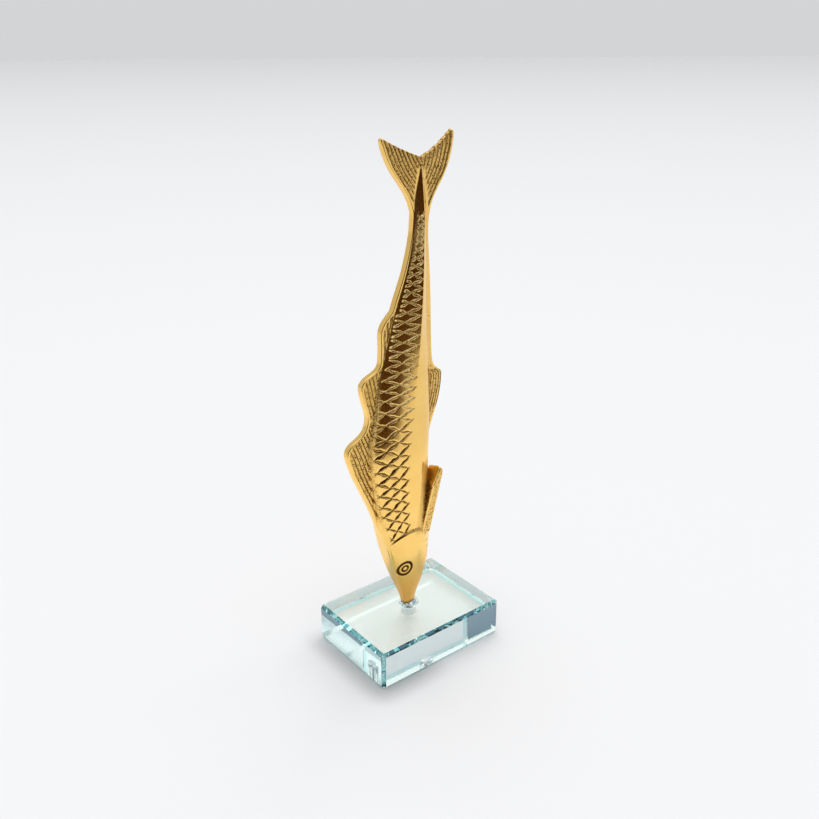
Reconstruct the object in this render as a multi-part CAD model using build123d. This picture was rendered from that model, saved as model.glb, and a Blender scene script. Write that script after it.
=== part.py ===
from build123d import *
import math
import os

os.makedirs("parts", exist_ok=True)

# A brass fish that stands on its nose on a clear glass block.
# +Z is up. The origin is the middle of the block's underside, which is the face that it rests on.
# X runs along the block's long side. The fish's middle plane is Y = 0, its back is towards -X.

# Driving sizes, mm

base_length = 75.0
base_width = 55.0
base_height = 20.0
base_bevel = 1.6

hole_diameter = 8.3
hole_depth = 13.3
hole_bottom_radius = 2.2

flange_diameter = 10.3
flange_thickness = 1.1
flange_edge_bevel = 0.25
sleeve_length = 10.8
sleeve_clearance = 0.2
bushing_bore_clearance = 0.9

stud_diameter = 2.6
stud_in_sleeve = 10.4
stud_in_nose = 11.5
stud_end_bevel = 0.3
nose_bore_clearance = 0.1
nose_bore_spare = 0.8
mount_axis_offset = -0.5

fish_length = 231.9
fish_depth = 36.0
fish_thickness = 17.0
fin_thickness = 3.3
lobe_tip_radius = 0.9

gill_step = 0.7
pectoral_thickness = 4.4
pectoral_reach = 13.4
pectoral_height = 37.4
pectoral_tip_radius = 3.6
pectoral_tip_rise = 3.0
pectoral_lean = 10.0

eye_diameter = 8.3
iris_diameter = 4.0
eye_line_width = 0.7
eye_line_depth = 0.6

# The side view of the flat plate that carries the fins and the tail.
# Each point is a share of fish_depth across and of fish_length up from the nose.
# The back and the belly are smooth splines, and the tail's two rear edges are arcs.

back_outline_share = [
    (-0.060, 0.012),
    (-0.190, 0.060),
    (-0.330, 0.115),
    (-0.450, 0.168),
    (-0.560, 0.215),
    (-0.667, 0.260),
    (-0.806, 0.309),
    (-0.935, 0.356),
    (-1.000, 0.388),
    (-1.009, 0.402),
    (-0.977, 0.413),
    (-0.812, 0.429),
    (-0.725, 0.441),
    (-0.682, 0.464),
    (-0.692, 0.478),
    (-0.735, 0.502),
    (-0.763, 0.524),
    (-0.765, 0.533),
    (-0.735, 0.542),
    (-0.555, 0.557),
    (-0.482, 0.566),
    (-0.458, 0.582),
    (-0.452, 0.602),
    (-0.453, 0.621),
    (-0.449, 0.632),
    (-0.428, 0.643),
    (-0.231, 0.678),
    (-0.130, 0.713),
    (-0.022, 0.758),
    (0.045, 0.802),
    (0.076, 0.836),
    (-0.003, 0.881),
    (-0.263, 0.938),
    (-0.413, 0.995),
]
back_lobe_edge_share = [(-0.413, 0.995), (-0.090, 0.971), (0.205, 0.954)]
belly_lobe_edge_share = [(0.205, 0.954), (0.440, 0.972), (0.712, 1.006)]
belly_outline_share = [
    (0.712, 1.006),
    (0.657, 0.956),
    (0.531, 0.913),
    (0.374, 0.875),
    (0.312, 0.838),
    (0.315, 0.775),
    (0.345, 0.679),
    (0.361, 0.582),
    (0.370, 0.562),
    (0.398, 0.545),
    (0.475, 0.533),
    (0.524, 0.527),
    (0.533, 0.516),
    (0.506, 0.484),
    (0.432, 0.447),
    (0.336, 0.407),
    (0.290, 0.366),
    (0.262, 0.329),
    (0.255, 0.263),
    (0.270, 0.202),
    (0.260, 0.142),
    (0.205, 0.082),
    (0.100, 0.041),
    (0.020, 0.012),
]

# Sections of the solid body, from the nose to the root of the tail.
# Height is a share of fish_length. Back, belly and keel are shares of fish_depth across.
# Half width, back flat and belly flat are shares of half of fish_thickness.
# Fullness is 0 for a straight facet and 1 for a quarter ellipse.
# Each row is a section, and sections_per_row smooth steps lie from one row to the next.

body_section_shares = [
    (0.000, -0.118, 0.050, -0.040, 0.240, 0.150, 0.120, 0.60),
    (0.025, -0.155, 0.097, -0.036, 0.390, 0.230, 0.150, 0.70),
    (0.060, -0.242, 0.190, -0.030, 0.565, 0.310, 0.180, 0.80),
    (0.103, -0.343, 0.262, -0.040, 0.729, 0.390, 0.200, 0.90),
    (0.150, -0.433, 0.293, -0.068, 0.859, 0.390, 0.200, 1.00),
    (0.202, -0.525, 0.303, -0.096, 0.941, 0.330, 0.200, 1.00),
    (0.263, -0.600, 0.286, -0.117, 0.988, 0.220, 0.190, 1.00),
    (0.332, -0.665, 0.274, -0.117, 1.000, 0.130, 0.170, 1.00),
    (0.401, -0.676, 0.298, -0.100, 0.976, 0.120, 0.160, 0.95),
    (0.470, -0.580, 0.325, -0.061, 0.918, 0.120, 0.160, 0.75),
    (0.539, -0.510, 0.325, 0.006, 0.847, 0.120, 0.160, 0.45),
    (0.608, -0.390, 0.305, 0.067, 0.788, 0.120, 0.160, 0.20),
    (0.677, -0.250, 0.300, 0.111, 0.729, 0.120, 0.160, 0.08),
    (0.746, -0.070, 0.300, 0.144, 0.647, 0.120, 0.150, 0.00),
    (0.806, 0.035, 0.290, 0.164, 0.576, 0.120, 0.130, 0.00),
    (0.840, 0.065, 0.288, 0.180, 0.518, 0.120, 0.120, 0.00),
    (0.884, 0.088, 0.284, 0.187, 0.376, 0.120, 0.120, 0.00),
    (0.935, 0.148, 0.228, 0.190, 0.150, 0.100, 0.100, 0.00),
]
quarter_ellipse_share = 0.5523
sections_per_row = 3

# The gill cover ends on an arch across the flank, and its step grows from nothing at the snout.

gill_arch_share = [
    (-0.560, 0.140),
    (-0.470, 0.172),
    (-0.330, 0.190),
    (-0.130, 0.197),
    (0.060, 0.190),
    (0.180, 0.152),
    (0.240, 0.120),
]
gill_floor_share = 0.060
step_growth_shares = [0.0, 0.0, 0.05, 0.35, 0.75, 1.0, 1.0]

# Places on the flank, as shares of fish_depth across and of fish_length up.

eye_place_share = (-0.200, 0.1065)
pectoral_root_share = (0.042, 0.180)
pectoral_inner_share = 0.30
pectoral_shoulder_share = 0.85

# Heights and derived sizes

nose_height = base_height + flange_thickness
sleeve_diameter = hole_diameter - sleeve_clearance
bushing_bore = stud_diameter + bushing_bore_clearance
nose_bore = stud_diameter + nose_bore_clearance
half_thickness = fish_thickness / 2


def side_point(share):
    """A point of the side view on the middle plane, from its two shares."""
    across_share, up_share = share
    return Vector(across_share * fish_depth, 0, nose_height + up_share * fish_length)


def cubic(start, end, start_turn, end_turn, fullness_share):
    """A curve from start to end, between a straight facet and a quarter ellipse."""
    chord = end - start
    straight_first = start + chord / 3
    straight_last = end - chord / 3
    round_first = start + start_turn * quarter_ellipse_share
    round_last = end - end_turn * quarter_ellipse_share
    first = straight_first + (round_first - straight_first) * fullness_share
    last = straight_last + (round_last - straight_last) * fullness_share
    return Bezier(start, first, last, end)


def body_section(row):
    """A closed section across the body, with its flanks and belly grown by its swell.

    The back face is drawn in as far as the flanks move, so that it never coincides with another.
    """
    up, back, belly, keel, half_width, back_flat, belly_flat, fullness_share, swell = row
    height = nose_height + up * fish_length
    back_x = back * fish_depth + abs(swell)
    belly_x = belly * fish_depth + swell
    keel_x = keel * fish_depth
    keel_y = half_width * half_thickness + swell
    back_y = back_flat * half_thickness
    belly_y = belly_flat * half_thickness
    edges = []
    for side in (-1, 1):
        back_edge = Vector(back_x, side * back_y, height)
        keel_point = Vector(keel_x, side * keel_y, height)
        belly_edge = Vector(belly_x, side * belly_y, height)
        outwards = Vector(0, side * (keel_y - back_y), 0)
        inwards = Vector(0, -side * (keel_y - belly_y), 0)
        to_keel = Vector(keel_x - back_x, 0, 0)
        to_belly = Vector(belly_x - keel_x, 0, 0)
        edges.append(cubic(back_edge, keel_point, outwards, to_keel, fullness_share))
        edges.append(cubic(keel_point, belly_edge, to_belly, inwards, fullness_share))
    near_back, near_belly, far_back, far_belly = edges
    belly_line = Line(near_belly @ 1, far_belly @ 1)
    back_line = Line(far_back @ 0, near_back @ 0)
    return make_face(Wire([near_back, near_belly, belly_line, far_belly, far_back, back_line]))


def hermite(start, end, start_slope, end_slope, step):
    """A value on the smooth curve from start to end."""
    rise = step * step * (3 - 2 * step)
    turn_in = step * (1 - step) * (1 - step)
    turn_out = step * step * (1 - step)
    return start + (end - start) * rise + start_slope * turn_in - end_slope * turn_out


def between(rows, index):
    """The sections from one row of the table up to the next, on smooth curves."""
    before = rows[max(index - 1, 0)]
    here = rows[index]
    there = rows[index + 1]
    after = rows[min(index + 2, len(rows) - 1)]
    span = there[0] - here[0]
    start_span = there[0] - before[0]
    end_span = after[0] - here[0]
    sections = []
    for count in range(sections_per_row):
        step = count / sections_per_row
        section = [here[0] + span * step]
        for place in range(1, len(here)):
            start_slope = (there[place] - before[place]) * span / start_span
            end_slope = (after[place] - here[place]) * span / end_span
            section.append(hermite(here[place], there[place], start_slope, end_slope, step))
        sections.append(section)
    return sections


def body(rows):
    """The body through all rows of the table, each a section and its swell."""
    sections = []
    for index in range(len(rows) - 1):
        sections += between(rows, index)
    sections.append(rows[-1])
    return loft([body_section(section) for section in sections], ruled=True)


def fin_plate():
    """The flat plate of the casting: dorsal fins, ventral fin and forked tail."""
    back = Spline(*[side_point(share) for share in back_outline_share])
    back_lobe = ThreePointArc(*[side_point(share) for share in back_lobe_edge_share])
    belly_lobe = ThreePointArc(*[side_point(share) for share in belly_lobe_edge_share])
    belly = Spline(*[side_point(share) for share in belly_outline_share])
    nose_end = Line(belly @ 1, back @ 0)
    side_view = make_face(Wire([back, back_lobe, belly_lobe, belly, nose_end]))
    flat = Plane.XZ.to_local_coords(side_view)
    tips = flat.vertices().sort_by(Axis.Y)[-2:]
    flat = fillet(tips, lobe_tip_radius)
    near_face = Plane.XZ.offset(fin_thickness / 2) * flat
    far_face = Plane.XZ.offset(-fin_thickness / 2) * flat
    return loft([near_face, far_face], ruled=True)


def gill_cover():
    """The cheek, which stands proud of the body and ends in a step on the gill arch."""
    head = zip(body_section_shares, step_growth_shares)
    cheek = body([(*section, growth * gill_step) for section, growth in head])
    arch = Spline(*[side_point(share) for share in gill_arch_share])
    floor_height = nose_height + gill_floor_share * fish_length
    front_low = Vector((arch @ 1).X, 0, floor_height)
    back_low = Vector((arch @ 0).X, 0, floor_height)
    rim = Polyline(arch @ 1, front_low, back_low, arch @ 0)
    reach = make_face(Wire([arch] + list(rim.edges())))
    return cheek & extrude(reach, amount=fish_thickness, dir=(0, 1, 0), both=True)


def pectoral_fins():
    """The pair of paddle-like fins that stand out of the flanks behind the gill."""
    lean = math.radians(pectoral_lean)
    face = Plane(
        origin=side_point(pectoral_root_share),
        x_dir=(0, 1, 0),
        z_dir=(math.cos(lean), 0, -math.sin(lean)),
    )
    inner = half_thickness * pectoral_inner_share
    shoulder = half_thickness * pectoral_shoulder_share
    fins = []
    for side in (-1, 1):
        outline = Polyline(
            (side * inner, 0),
            (side * shoulder, 0),
            (side * pectoral_reach, pectoral_height),
            (side * inner, pectoral_height - pectoral_tip_rise),
            close=True,
        )
        blade = make_face(outline)
        tip = blade.vertices().group_by(Axis.Y)[-1].sort_by(Axis.X)[0 if side < 0 else -1]
        blade = fillet(tip, pectoral_tip_radius)
        fins.append(extrude(face * blade, amount=pectoral_thickness))
    return fins


def eye_rings():
    """The cutters for the two incised rings of each eye, which stop just under the skin."""
    head = zip(body_section_shares, step_growth_shares)
    core = body([(*section, growth * gill_step - eye_line_depth) for section, growth in head])
    flank = Plane(origin=side_point(eye_place_share), x_dir=(1, 0, 0), z_dir=(0, -1, 0))
    cutters = []
    for diameter in (eye_diameter, iris_diameter):
        ring = Circle(diameter / 2) - Circle(diameter / 2 - eye_line_width)
        cutters.append(extrude(flank * ring, amount=fish_thickness, both=True) - core)
    return cutters


def stud_bore():
    """The bore in the nose that the stud goes up into."""
    depth = stud_in_nose + nose_bore_spare
    seat = Pos(mount_axis_offset, 0, nose_height)
    return seat * extrude(Circle(nose_bore / 2), amount=depth)


def fish_casting():
    """Body, gill covers and all fins in one piece, with the bore for the stud in the nose."""
    trunk = body([(*section, 0) for section in body_section_shares])
    casting = trunk + fin_plate() + gill_cover()
    for fin in pectoral_fins():
        casting += fin
    for cutter in eye_rings():
        casting -= cutter
    return casting - stud_bore()


def glass_base():
    """The block with bevelled edges and the blind hole, round at its bottom, for the bushing."""
    block = Pos(0, 0, base_height / 2) * Box(base_length, base_width, base_height)
    block = chamfer(block.edges(), base_bevel)
    hole = extrude(Circle(hole_diameter / 2), amount=-hole_depth)
    hole = fillet(hole.faces().sort_by(Axis.Z)[0].edges(), hole_bottom_radius)
    return block - Pos(mount_axis_offset, 0, base_height) * hole


def clear_bushing():
    """The flanged sleeve: the flange lies on the glass and carries the nose."""
    sleeve = extrude(Circle(sleeve_diameter / 2), amount=-sleeve_length)
    flange = extrude(Circle(flange_diameter / 2), amount=flange_thickness)
    rim = flange.faces().sort_by(Axis.Z)[-1].edges()
    flange = chamfer(rim, flange_edge_bevel)
    bore_length = sleeve_length + flange_thickness
    bore = Pos(0, 0, flange_thickness) * extrude(Circle(bushing_bore / 2), amount=-bore_length)
    return Pos(mount_axis_offset, 0, base_height) * (sleeve + flange - bore)


def mounting_stud():
    """The thin stud from the sleeve up into the nose."""
    length = stud_in_sleeve + flange_thickness + stud_in_nose
    stud = extrude(Circle(stud_diameter / 2), amount=length)
    stud = chamfer(stud.edges().filter_by(GeomType.CIRCLE), stud_end_bevel)
    return Pos(mount_axis_offset, 0, base_height - stud_in_sleeve) * stud


export_step(fish_casting(), "parts/fish_casting.step")
export_step(glass_base(), "parts/glass_base.step")
export_step(clear_bushing(), "parts/clear_bushing.step")
export_step(mounting_stud(), "parts/mounting_stud.step")
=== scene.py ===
import math

import bmesh
import bpy
import numpy as np
from bpy.props import FloatProperty, FloatVectorProperty, IntProperty, PointerProperty
from bpy.types import Operator, Panel, PropertyGroup
from mathutils import Matrix, Vector


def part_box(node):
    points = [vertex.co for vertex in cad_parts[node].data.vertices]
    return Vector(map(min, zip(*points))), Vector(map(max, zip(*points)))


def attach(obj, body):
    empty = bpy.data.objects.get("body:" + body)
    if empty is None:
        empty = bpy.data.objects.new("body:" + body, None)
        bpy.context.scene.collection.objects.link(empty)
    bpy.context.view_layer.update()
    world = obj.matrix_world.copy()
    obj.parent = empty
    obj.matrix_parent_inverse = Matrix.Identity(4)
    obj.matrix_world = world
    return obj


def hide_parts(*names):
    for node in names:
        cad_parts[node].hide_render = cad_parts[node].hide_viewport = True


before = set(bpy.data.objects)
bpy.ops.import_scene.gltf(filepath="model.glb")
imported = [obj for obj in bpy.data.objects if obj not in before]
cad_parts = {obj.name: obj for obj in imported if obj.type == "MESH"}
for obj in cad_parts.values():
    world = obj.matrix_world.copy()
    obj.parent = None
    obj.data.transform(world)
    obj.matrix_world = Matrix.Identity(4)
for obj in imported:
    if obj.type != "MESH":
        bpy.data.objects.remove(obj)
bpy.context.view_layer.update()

bl_info = {
    "name": "Fish Figurine on a Glass Base",
    "version": (1, 0, 0),
    "blender": (4, 5, 0),
    "location": "3D View > Sidebar > Fish Figurine",
    "description": "Builds a polished brass fish that stands on its nose on a clear glass block",
    "category": "Object",
}

MM = 0.001

# The side view of the plate with the fins and the tail.
# Each point is a share of the fish's depth across and of its length up from the nose.

BACK_OUTLINE = [
    (-0.060, 0.012), (-0.190, 0.060), (-0.330, 0.115), (-0.450, 0.168), (-0.560, 0.215),
    (-0.667, 0.260), (-0.806, 0.309), (-0.935, 0.356), (-1.000, 0.388), (-1.009, 0.402),
    (-0.977, 0.413), (-0.812, 0.429), (-0.725, 0.441), (-0.682, 0.464), (-0.692, 0.478),
    (-0.735, 0.502), (-0.763, 0.524), (-0.765, 0.533), (-0.735, 0.542), (-0.555, 0.557),
    (-0.482, 0.566), (-0.458, 0.582), (-0.452, 0.602), (-0.453, 0.621), (-0.449, 0.632),
    (-0.428, 0.643), (-0.231, 0.678), (-0.130, 0.713), (-0.022, 0.758), (0.045, 0.802),
    (0.076, 0.836), (-0.003, 0.881), (-0.263, 0.938), (-0.413, 0.995),
]
BACK_LOBE_EDGE = [(-0.413, 0.995), (-0.090, 0.971), (0.205, 0.954)]
BELLY_LOBE_EDGE = [(0.205, 0.954), (0.440, 0.972), (0.712, 1.006)]
BELLY_OUTLINE = [
    (0.712, 1.006), (0.657, 0.956), (0.531, 0.913), (0.374, 0.875), (0.312, 0.838),
    (0.315, 0.775), (0.345, 0.679), (0.361, 0.582), (0.370, 0.562), (0.398, 0.545),
    (0.475, 0.533), (0.524, 0.527), (0.533, 0.516), (0.506, 0.484), (0.432, 0.447),
    (0.336, 0.407), (0.290, 0.366), (0.262, 0.329), (0.255, 0.263), (0.270, 0.202),
    (0.260, 0.142), (0.205, 0.082), (0.100, 0.041), (0.020, 0.012),
]

# Sections of the solid body: height as a share of the length, then back, belly and keel as shares
# of the depth, half width, back flat and belly flat as shares of half the thickness, and fullness.

BODY_SECTIONS = np.array([
    (0.000, -0.118, 0.050, -0.040, 0.240, 0.150, 0.120, 0.60),
    (0.025, -0.155, 0.097, -0.036, 0.390, 0.230, 0.150, 0.70),
    (0.060, -0.242, 0.190, -0.030, 0.565, 0.310, 0.180, 0.80),
    (0.103, -0.343, 0.262, -0.040, 0.729, 0.390, 0.200, 0.90),
    (0.150, -0.433, 0.293, -0.068, 0.859, 0.390, 0.200, 1.00),
    (0.202, -0.525, 0.303, -0.096, 0.941, 0.330, 0.200, 1.00),
    (0.263, -0.600, 0.286, -0.117, 0.988, 0.220, 0.190, 1.00),
    (0.332, -0.665, 0.274, -0.117, 1.000, 0.130, 0.170, 1.00),
    (0.401, -0.676, 0.298, -0.100, 0.976, 0.120, 0.160, 0.95),
    (0.470, -0.580, 0.325, -0.061, 0.918, 0.120, 0.160, 0.75),
    (0.539, -0.510, 0.325, 0.006, 0.847, 0.120, 0.160, 0.45),
    (0.608, -0.390, 0.305, 0.067, 0.788, 0.120, 0.160, 0.20),
    (0.677, -0.250, 0.300, 0.111, 0.729, 0.120, 0.160, 0.08),
    (0.746, -0.070, 0.300, 0.144, 0.647, 0.120, 0.150, 0.00),
    (0.806, 0.035, 0.290, 0.164, 0.576, 0.120, 0.130, 0.00),
    (0.840, 0.060, 0.288, 0.180, 0.518, 0.150, 0.120, 0.00),
    (0.884, 0.075, 0.284, 0.187, 0.400, 0.150, 0.120, 0.00),
    (0.935, 0.140, 0.228, 0.190, 0.240, 0.100, 0.100, 0.00),
])
QUARTER_ELLIPSE = 0.5523

GILL_ARCH = [
    (-0.560, 0.140), (-0.470, 0.172), (-0.330, 0.190), (-0.130, 0.197),
    (0.060, 0.190), (0.180, 0.152), (0.240, 0.120),
]
CHEEK_GROWTH = [(0.060, 0.05), (0.103, 0.35), (0.150, 0.75), (0.202, 1.0)]
EYE_PLACE = (-0.200, 0.1065)

# The scales are cut as two families of grooves between the body line and the keel. Each line is:
# height share, pitch as a share of the length, how many pitches a rising groove climbs across the
# band, how many a falling groove drops, and the share of the band where the grooves end.

SCALE_RULE = np.array([
    (0.160, 0.0262, 2.60, 1.50, 0.86),
    (0.345, 0.0264, 2.40, 1.55, 0.88),
    (0.430, 0.0258, 1.80, 1.25, 0.93),
    (0.480, 0.0228, 1.45, 1.20, 0.97),
    (0.560, 0.0202, 1.15, 1.15, 0.96),
    (0.640, 0.0193, 1.00, 1.00, 0.96),
    (0.715, 0.0176, 0.95, 0.95, 0.97),
    (0.760, 0.0152, 0.90, 0.90, 0.97),
    (0.850, 0.0145, 0.90, 0.90, 0.97),
])
SCALE_ANCHOR_HEIGHT = 0.2410

# Rays of the three dorsal fins: the height shares that the fin covers, how many millimetres the rays
# run in over the body, and two points of the leading edge, which the rays run along.

DORSAL_FINS = [
    (0.205, 0.452, 0.6, (-0.667, 0.260), (-0.985, 0.380)),
    (0.466, 0.560, 0.6, (-0.692, 0.478), (-0.760, 0.522)),
    (0.580, 0.690, 1.6, (-0.458, 0.582), (-0.453, 0.625)),
]
TAIL_START = 0.845
WIDEST_PITCH = 5.6

# The pectoral fins: the place of the root in shares, how many millimetres the fins stand ahead of
# it, how far they lean to the belly, and the share of their height where they bend.

PADDLE_ROOT = (0.042, 0.180)
PADDLE_SHIFT = 1.0
PADDLE_LEAN = math.radians(10.0)
KNEE_HEIGHT = 0.70

# Their cross sections: the inner end and the shoulder as shares of half the thickness, the leans of
# the rear face above the knee and of the top, and in millimetres how much less far they reach than
# the size says, how much lower the inner end is, where the top is cut back, how much thicker the
# root and the tip are, and the rounding of the tips and of the edges.

PADDLE_INNER = 0.30
PADDLE_SHOULDER = 0.85
PADDLE_REAR_LEAN = 0.22
PADDLE_TOP_LEAN = 0.60
PADDLE_SHORTER = 1.2
PADDLE_INNER_DROP = 3.0
PADDLE_TOP_CUT = 3.5
PADDLE_ROOT_SWELL = 0.9
PADDLE_TIP_SWELL = 0.1
PADDLE_TIP_RADIUS = 4.2
PADDLE_EDGE_RADIUS = 0.9

# Half widths of the lines in the brass, depths of the lines and the pits, and the height of its
# faint waves, in millimetres.

RISING_LINE = 1.05
FALLING_LINE = 0.75
RAY_LINE = 0.45
LINE_DEPTH = 0.24
PIT_DEPTH = 0.10
WAVE_HEIGHT = 0.035

# Height shares at which each finish and each painted shade starts, is full, fades and ends.

SPANS = {
    "scales": (0.118, 0.160, 0.842, 0.858),
    "scale_inset": (0.50, 0.60, 0.68, 0.76),
    "ventral_rays": (0.44, 0.46, 0.53, 0.541),
    "back_corner": (0.30, 0.40, 0.86, 0.90),
    "belly_fold": (0.42, 0.50, 0.86, 0.90),
    "fin_shade": (0.17, 0.19, 0.34, 0.37),
    "fin_socket": (0.185, 0.215, 0.300, 0.330),
}

# Compass directions of what the glass and the brass show of the stage and of the painted contact
# shadow, how the glass and the plastic bend light, and tints of the glass; the bevels' tint is painted
# shade.

SIDE_BEHIND = (-0.66, 0.75)
SIDE_OF_ROOM = (0.70, -0.71)
SIDE_OF_SHADE = (-0.26, -0.966)
SIDE_OF_CONTACT = (-0.93, -0.37)
BEVEL_SHADE_TINT = (0.45, 0.80, 0.82)
GLASS_DEPTH_TINT = (0.10, 0.80, 0.86)
GLASS_SHADOW_TINT = (0.34, 0.36, 0.37)
GLASS_DENSITY = 1.8
GLASS_INDEX = 1.52
PLASTIC_INDEX = 1.47
PLASTIC_ROUGHNESS = 0.03

# Tones of the surround, and of the floor, where most are painted light: a painted contact shadow
# where the block stands; the floor as the glass shows it straight (painted lighter), turned (painted
# darker), to the side (a painted dark reflection of the room) and by its own edge (a painted shadow);
# and the painted glow where brass mirrors it and under the block. The floor reaches to the horizon and
# painted shade darkens it on the way.

WHITE = (0.98, 0.99, 1.0)
CONTACT_TONE = (0.10, 0.08, 0.08)
GLASSY_TONE = (0.97, 0.96, 0.95)
TURNED_TONE = (0.80, 0.87, 0.86)
BESIDE_TONE = (0.36, 0.46, 0.52)
RIM_TONE = (0.16, 0.26, 0.29)
MIRRORED_LIFT = (0.16, 0.15, 0.13)
UNDER_LIFT = (0.26, 0.25, 0.20)
FLOOR_RADIUS = 40.0
FLOOR_FADE = 0.217
LIGHT_BOUNCES = 28

# The two soft lights: where each stands from the figurine, and how wide it is, in degrees.

KEY_LIGHT = ((0.25, 0.32, 1.0), 40.0)
SIDE_LIGHT = ((1.0, 0.15, 1.0), 45.0)
FILM_WIDTH = 36.0
NEAREST_VIEW = 0.01


def smoothstep(low, high, value):
    """A soft step from 0 at low to 1 at high."""
    share = np.clip((value - low) / (high - low), 0.0, 1.0)
    return share * share * (3 - 2 * share)


def fall(low, high, value):
    """A soft step from 1 at low to 0 at high."""
    return 1 - smoothstep(low, high, value)


def between(value, start, full, fade, end):
    """A soft step from 0 at start to 1 at full, and from 1 at fade to 0 at end."""
    return smoothstep(start, full, value) * fall(fade, end, value)


def spline(points, count=2400):
    """Points along a natural cubic spline through the given points."""
    knots = np.array(points, float)
    at = np.r_[0, np.cumsum(np.linalg.norm(np.diff(knots, axis=0), axis=1))]
    gaps = np.diff(at)
    size = len(at)
    system = np.eye(size)
    right = np.zeros_like(knots)
    for i in range(1, size - 1):
        system[i, i - 1:i + 2] = gaps[i - 1], 2 * (gaps[i - 1] + gaps[i]), gaps[i]
        turn = (knots[i + 1] - knots[i]) / gaps[i] - (knots[i] - knots[i - 1]) / gaps[i - 1]
        right[i] = 6 * turn
    bend = np.linalg.solve(system, right)
    place = np.linspace(0, at[-1], count)
    i = np.clip(np.searchsorted(at, place) - 1, 0, size - 2)
    gap = gaps[i][:, None]
    a = (at[i + 1] - place)[:, None] / gap
    b = 1 - a
    curve = ((a ** 3 - a) * bend[i] + (b ** 3 - b) * bend[i + 1]) * gap ** 2 / 6
    return a * knots[i] + b * knots[i + 1] + curve


def arc(points, count=600):
    """Points along the circular arc through three points."""
    (ax, ay), (bx, by), (cx, cy) = points
    d = 2 * (ax * (by - cy) + bx * (cy - ay) + cx * (ay - by))
    a2, b2, c2 = ax * ax + ay * ay, bx * bx + by * by, cx * cx + cy * cy
    ux = (a2 * (by - cy) + b2 * (cy - ay) + c2 * (ay - by)) / d
    uy = (a2 * (cx - bx) + b2 * (ax - cx) + c2 * (bx - ax)) / d
    radius = math.hypot(ax - ux, ay - uy)
    start = math.atan2(ay - uy, ax - ux)
    sweep = math.atan2(cy - uy, cx - ux) - start
    sweep = (sweep + math.pi) % (2 * math.pi) - math.pi
    turn = start + sweep * np.linspace(0, 1, count)
    return np.c_[ux + radius * np.cos(turn), uy + radius * np.sin(turn)]


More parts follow.
